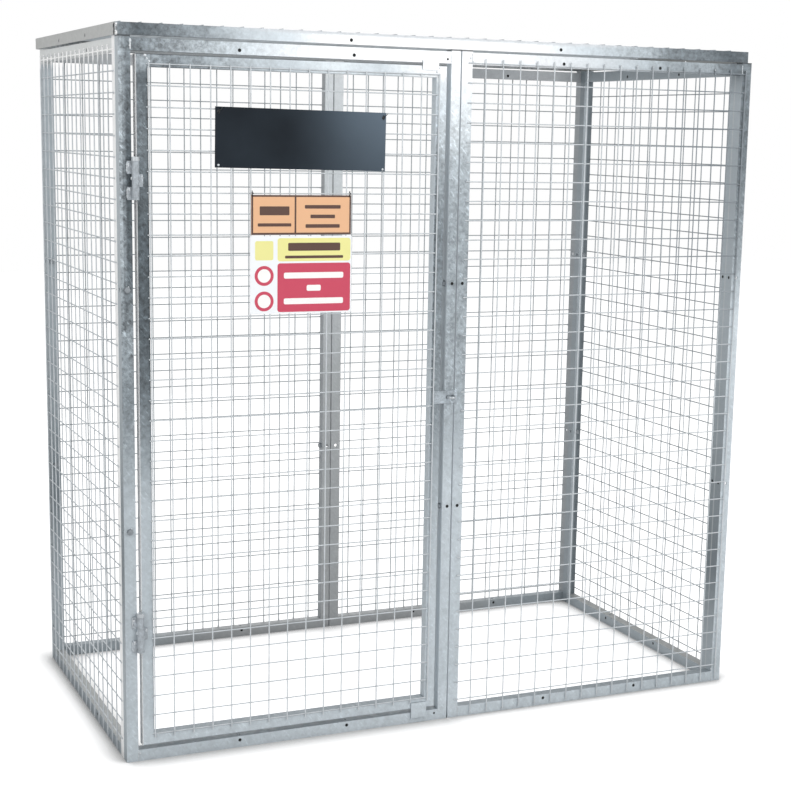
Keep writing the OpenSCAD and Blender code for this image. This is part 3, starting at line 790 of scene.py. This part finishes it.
def hole_shades():
    """Thin dark rounds of painted shade inside the empty holes of the faces, and a dark sliver of painted
    shade in the slit of the roof.
    """
    bm = bmesh.new()
    front_y, rear_y, roof_rear_y = 0.8, 922.0, 949.2
    left_x, right_x = 0.8, 1770.8
    roof_thirds = (ROOF_X0 + 597.67, ROOF_X0 + 1195.33)
    rails = (19.5, RAIL_TOP - 19.5)
    thirds = (WALL_H / 3, WALL_H * 2 / 3)
    side_third = (SIDE_Y1 - SIDE_Y0) / 3
    for y in (front_y, rear_y):
        for z in rails:
            for x in (300, 600, 1200, 1500):
                disc(bm, (x, y, z), Y)
    for z in thirds:
        for x in (885, 915):
            disc(bm, (x, front_y, z), Y)
    for y in (front_y, roof_rear_y):
        for x in roof_thirds:
            disc(bm, (x, y, ROOF_Z - 18.0), Y)
    for x in (left_x, right_x):
        for z in rails:
            for y in (SIDE_Y0 + side_third, SIDE_Y0 + side_third * 2):
                disc(bm, (x, y, z), X)
    for z in thirds:
        disc(bm, (right_x, 45, z), X)
    for z in rails:
        disc(bm, (859, front_y, z), Y, radius=2.8)
    for z in thirds:
        disc(bm, (right_x, 15, z), X)
    # A dark block of painted shade filling the slit at the roof's left front corner
    slit_shade = [bm.verts.new(at(x, y, z)) for x in (-4.6, -3.6) for y in (3.3, 18.7) for z in (1810.4, 1836.6)]
    for face in ((0, 1, 3, 2), (4, 6, 7, 5), (0, 4, 5, 1), (2, 3, 7, 6), (0, 2, 6, 4), (1, 5, 7, 3)):
        bm.faces.new([slit_shade[i] for i in face])
    piece("hole_shades", bm, "shadow", "cage", smooth=False)


# Prints on the signs, in millimetres: how far they stand off the plate, and how thick they are
PRINT_OFF = 0.02
BORDER_THICK, FIELD_THICK, BAR_THICK = 0.25, 0.2, 0.35


def orange_prints():
    """The border, the dividing line and plain bars of the orange plate."""
    (x0, y, z0), (x1, _, z1) = corners_mm("orange_plate")
    y += PRINT_OFF
    line, middle = 4.5, 443
    inner0, inner1 = z0 + line, z1 - line
    bm = bmesh.new()
    for left, right, low, high in (
            (x0, x1, inner1, z1), (x0, x1, z0, inner0), (x0, x0 + line, inner0, inner1),
            (x1 - line, x1, inner0, inner1), (middle - line / 2, middle + line / 2, inner0, inner1)):
        slab(bm, left, right, y, low, high, BORDER_THICK)
    piece("orange_border", bm, "brown", "door", smooth=False)
    bm = bmesh.new()
    for x, width, up, height in ((388, 78, 59, 22), (388, 88, 24, 8), (516, 96, 69, 9), (516, 66, 45, 9),
                                 (516, 92, 21, 9)):
        bar(bm, x, width, y, z0 + up, height, FIELD_THICK, 2.0)
    piece("orange_bars", bm, "brown", "door", smooth=False)


def notice_prints():
    """Plain yellow and crimson fields, rings and bars of the notice board."""
    y = corners_mm("notice_board")[0][Y] + PRINT_OFF
    left, right = 396, 592
    ring_x, ring_zs, ring_r, hollow_r = 361, (1236, 1172), 25, 17
    bm = bmesh.new()
    slab(bm, left, right, y, 1272, 1330, FIELD_THICK, 7)
    slab(bm, 337, 385, y, 1275, 1323, FIELD_THICK, 5)
    piece("notice_yellow", bm, "yellow", "door", smooth=False)
    bm = bmesh.new()
    slab(bm, left, right, y, 1144, 1267, FIELD_THICK, 7)
    for z in ring_zs:
        slab(bm, ring_x - ring_r, ring_x + ring_r, y, z - ring_r, z + ring_r, FIELD_THICK, ring_r, 10)
    piece("notice_crimson", bm, "crimson", "door", smooth=False)
    bm = bmesh.new()
    slab(bm, 424, 564, y, 1298, 1318, BAR_THICK, 3)
    slab(bm, 416, 572, y, 1279, 1286, BAR_THICK, 2)
    piece("notice_brown_bars", bm, "brown", "door", smooth=False)
    bm = bmesh.new()
    for width, z in ((160, 1236), (38, 1204), (160, 1171)):
        bar(bm, 493, width, y, z, 15, BAR_THICK, 4)
    for z in ring_zs:
        slab(bm, ring_x - hollow_r, ring_x + hollow_r, y, z - hollow_r, z + hollow_r, BAR_THICK, hollow_r, 10)
    piece("notice_pale_bars", bm, "pale", "door", smooth=False)


def plate_fixings():
    """Rivets at the name plate's foot, and cable ties at its top and at the top of the orange plate."""
    rng = random.Random(5)
    y = corners_mm("name_plate")[0][Y]
    bm = bmesh.new()
    for x, z in ((243, 1509), (677.5, 1503)):
        blob(bm, (x, y, z), (3.2, 1.6, 3.2), rng, rough=0.03)
    piece("name_plate_rivets", bm, "bright", "door")
    bm = bmesh.new()
    for x, z in ((243, 1638), (677.5, 1633)):
        blob(bm, (x, y, z), (3.6, 2.0, 3.6), rng, rough=0.05)
        loop = [(x + 3 * math.cos(a), y + 2.4 - 4.6 * math.cos(a / 2) ** 2, z + 5.5 * math.sin(a))
                for a in (2 * math.pi * k / 16 for k in range(16))]
        tube(bm, loop, 0.9, 6, closed=True)
        tail = [(x, y - 1.0, z), (x + 3, y - 3.5, z + 3), (x + 7, y - 5, z + 6), (x + 10, y - 5.5, z + 10)]
        tube(bm, tail, 0.9, 6)
    (left, _, _), (right, _, top) = corners_mm("orange_plate")
    for x in (left + 3, right - 3):
        loop = [(x + 1.2 * math.sin(a), -6 + 5.5 * math.sin(a), top + 2 + 8 * math.cos(a))
                for a in (2 * math.pi * k / 20 for k in range(20))]
        tube(bm, loop, 1.0, 6, closed=True)
        blob(bm, (x, -11.2, top + 4), (2.4, 1.8, 2.4), rng, 1, 0.05)
    piece("sign_ties", bm, "black", "door")


# Studio
WHITE = (1.0, 1.0, 1.0, 1.0)
SKY_LIGHT = 0.55
LAMPS = (
    ("key", (1.6, -4.2, 3.4), (0.0, 0.0, 0.9), 2.6, 105.0),
    ("fill", (-3.6, -2.2, 2.6), (-0.2, 0.0, 0.9), 2.4, 42.0),
    ("back", (1.4, 4.4, 3.0), (0.0, 0.0, 0.9), 2.4, 34.0),
)
FLOOR_COLOUR, FLOOR_GLOW, FLOOR_HALF = 0.95, 0.58, 14.0
SHADE_REACH, SHADE_POWER = 0.11, 1.6


def make_sky():
    """White for the camera and in reflections, a softer light for all else."""
    world = bpy.data.worlds.new("studio")
    bpy.context.scene.world = world
    world.use_nodes = True
    nodes, links = world.node_tree.nodes, world.node_tree.links
    nodes.clear()
    rays = nodes.new("ShaderNodeLightPath")
    seen = rays.outputs["Is Camera Ray"]
    for kind in ("Is Glossy Ray", "Is Transmission Ray"):
        either = nodes.new("ShaderNodeMath")
        either.operation = "MAXIMUM"
        links.new(seen, either.inputs[0])
        links.new(rays.outputs[kind], either.inputs[1])
        seen = either.outputs[0]
    mix = nodes.new("ShaderNodeMixShader")
    links.new(seen, mix.inputs[0])
    for socket, strength in ((1, SKY_LIGHT), (2, 1.0)):
        sky = nodes.new("ShaderNodeBackground")
        sky.inputs["Color"].default_value = WHITE
        sky.inputs["Strength"].default_value = strength
        links.new(sky.outputs[0], mix.inputs[socket])
    links.new(mix.outputs[0], nodes.new("ShaderNodeOutputWorld").inputs["Surface"])


def make_lamps():
    """Soft square lamps: name, place, what they point at, size in metres and watts."""
    for name, place, aim, size, power in LAMPS:
        data = bpy.data.lights.new(name, "AREA")
        data.shape = "SQUARE"
        data.size = size
        data.energy = power
        lamp = bpy.data.objects.new(name, data)
        lamp.location = place
        lamp.rotation_euler = (Vector(aim) - Vector(place)).to_track_quat("-Z", "Y").to_euler()
        bpy.context.scene.collection.objects.link(lamp)


def make_floor():
    """Pale floor, white to the camera away from the object, that keeps its shadow, with painted shade near
    where things stand on it.
    """
    bm = bmesh.new()
    bmesh.ops.create_grid(bm, x_segments=4, y_segments=4, size=FLOOR_HALF)
    mesh = bpy.data.meshes.new("floor")
    bm.to_mesh(mesh)
    bm.free()
    floor = bpy.data.objects.new("floor", mesh)
    bpy.context.scene.collection.objects.link(floor)
    t = Tree("floor")
    # Painted shade: ambient occlusion darkens the floor's colour and its glow for the camera near where
    # things stand on it
    corner = t.node("ShaderNodeAmbientOcclusion", samples=8)
    corner.inputs["Distance"].default_value = SHADE_REACH
    open_sky = t.math("POWER", corner.outputs["AO"], SHADE_POWER)
    t.finish(t.bright((FLOOR_COLOUR,) * 3, open_sky), 0.9, specular=0.0)
    glow = t.node("ShaderNodeEmission")
    glow.inputs["Color"].default_value = WHITE
    t.put(glow.inputs["Strength"], t.times(open_sky, FLOOR_GLOW))
    both = t.node("ShaderNodeAddShader")
    t.put(both.inputs[0], t.shader.outputs[0])
    t.put(both.inputs[1], glow.outputs[0])
    pick = t.node("ShaderNodeMixShader")
    t.put(pick.inputs[0], t.node("ShaderNodeLightPath").outputs["Is Camera Ray"])
    t.put(pick.inputs[1], t.shader.outputs[0])
    t.put(pick.inputs[2], both.outputs[0])
    t.put(t.nodes["Material Output"].inputs["Surface"], pick.outputs[0])
    mesh.materials.append(t.mat)


dress_nodes()
mesh_welds()
weld_draws = random.Random(61)
frame_welds(weld_draws)
door_welds(weld_draws)
hole_shades()
orange_prints()
notice_prints()
plate_fixings()
make_camera()
make_sky()
make_lamps()
make_floor()
bpy.context.scene.view_settings.view_transform = "Standard"
